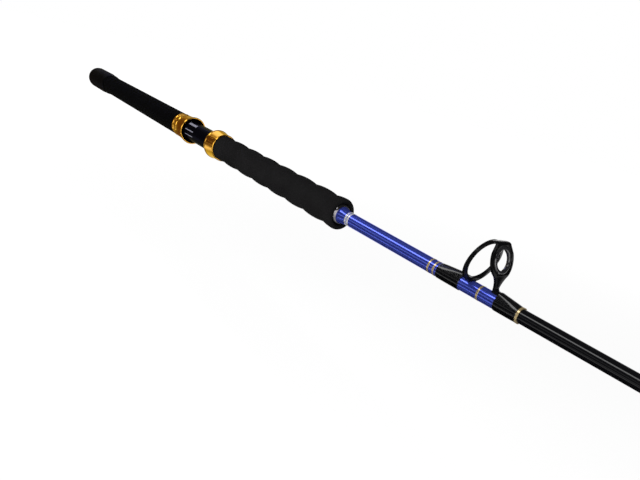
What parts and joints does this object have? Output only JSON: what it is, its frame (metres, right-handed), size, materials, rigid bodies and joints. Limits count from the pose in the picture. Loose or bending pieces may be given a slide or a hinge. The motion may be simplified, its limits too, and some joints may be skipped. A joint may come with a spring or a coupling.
{
  "type": "fishing rod",
  "caption": "Conventional boat fishing rod with foam grips, a reel seat with a sliding hood and lock nut, braced double-foot line guides and a tip guide.",
  "frame": {"origin": "centre of the butt cap's flat end face, on the rod axis", "axes": "+X along the rod towards the tip, +Z towards the guides and the reel's side of the seat"},
  "size_m": [1.6867, 0.0376, 0.0574],
  "materials": {
    "gold_anodised": "polished gold anodised",
    "cap_rubber": "satin moulded rubber",
    "eva_foam": "matte closed-cell foam",
    "blank_gloss_black": "gloss clear-coated black",
    "plug_plastic": "matte",
    "seat_gloss_black": "gloss black",
    "arbor_cork": "cork composite",
    "silver_anodised": "polished",
    "silver_thread": "metallic thread under clear epoxy",
    "blue_wrap": "metallic blue thread under clear epoxy",
    "gold_thread": "metallic thread under clear epoxy",
    "guide_frame_black": "gloss black coated steel",
    "ceramic_dark": "polished ceramic",
    "black_wrap": "black thread under clear epoxy"
  },
  "bodies": {
    "rod": {"butt_cap": "cap_rubber", "butt_plug": "plug_plastic", "rear_grip": "eva_foam", "rod_blank": "blank_gloss_black", "reel_seat_tube": "seat_gloss_black", "seat_arbors": "arbor_cork", "fixed_hood": "gold_anodised", "foregrip": "eva_foam", "winding_check": "silver_anodised", "check_cone": "blue_wrap", "silver_bands": "silver_thread", "butt_wrap": "blue_wrap", "gold_bands": "gold_thread", "guide_1_frame": "guide_frame_black", "guide_1_ring": "ceramic_dark", "guide_1_underwrap": "blue_wrap", "guide_1_rear_wrap": "black_wrap", "guide_1_front_wrap": "black_wrap", "guide_1_bands": "gold_thread", "guide_2_frame": "guide_frame_black", "guide_2_ring": "ceramic_dark", "guide_2_rear_wrap": "black_wrap", "guide_2_front_wrap": "black_wrap", "guide_3_frame": "guide_frame_black", "guide_3_ring": "ceramic_dark", "guide_3_rear_wrap": "black_wrap", "guide_3_front_wrap": "black_wrap", "guide_4_frame": "guide_frame_black", "guide_4_ring": "ceramic_dark", "guide_4_rear_wrap": "black_wrap", "guide_4_front_wrap": "black_wrap", "guide_5_frame": "guide_frame_black", "guide_5_ring": "ceramic_dark", "guide_5_rear_wrap": "black_wrap", "guide_5_front_wrap": "black_wrap", "guide_6_frame": "guide_frame_black", "guide_6_ring": "ceramic_dark", "guide_6_rear_wrap": "black_wrap", "guide_6_front_wrap": "black_wrap", "trim_bands": "gold_thread", "tip_frame": "guide_frame_black", "tip_ring": "ceramic_dark", "tip_wrap": "black_wrap"},
    "hood": {"sliding_hood": "gold_anodised", "nut_washer": "gold_anodised"},
    "nut": {"lock_nut": "gold_anodised"}
  },
  "joints": [
    {"name": "hood_slide", "type": "slide", "parent": "rod", "child": "hood", "axis": [1, 0, 0], "range_m": [0, 0.0201]},
    {"name": "nut_spin", "type": "hinge", "parent": "hood", "child": "nut", "pos_m": [0.38275, 0, 0], "axis": [1, 0, 0], "range_deg": [0, 3600]}
  ],
  "couplings": [
    {"joint": "hood_slide", "follows": "nut_spin", "m_per_rad": 0.00031831}
  ]
}
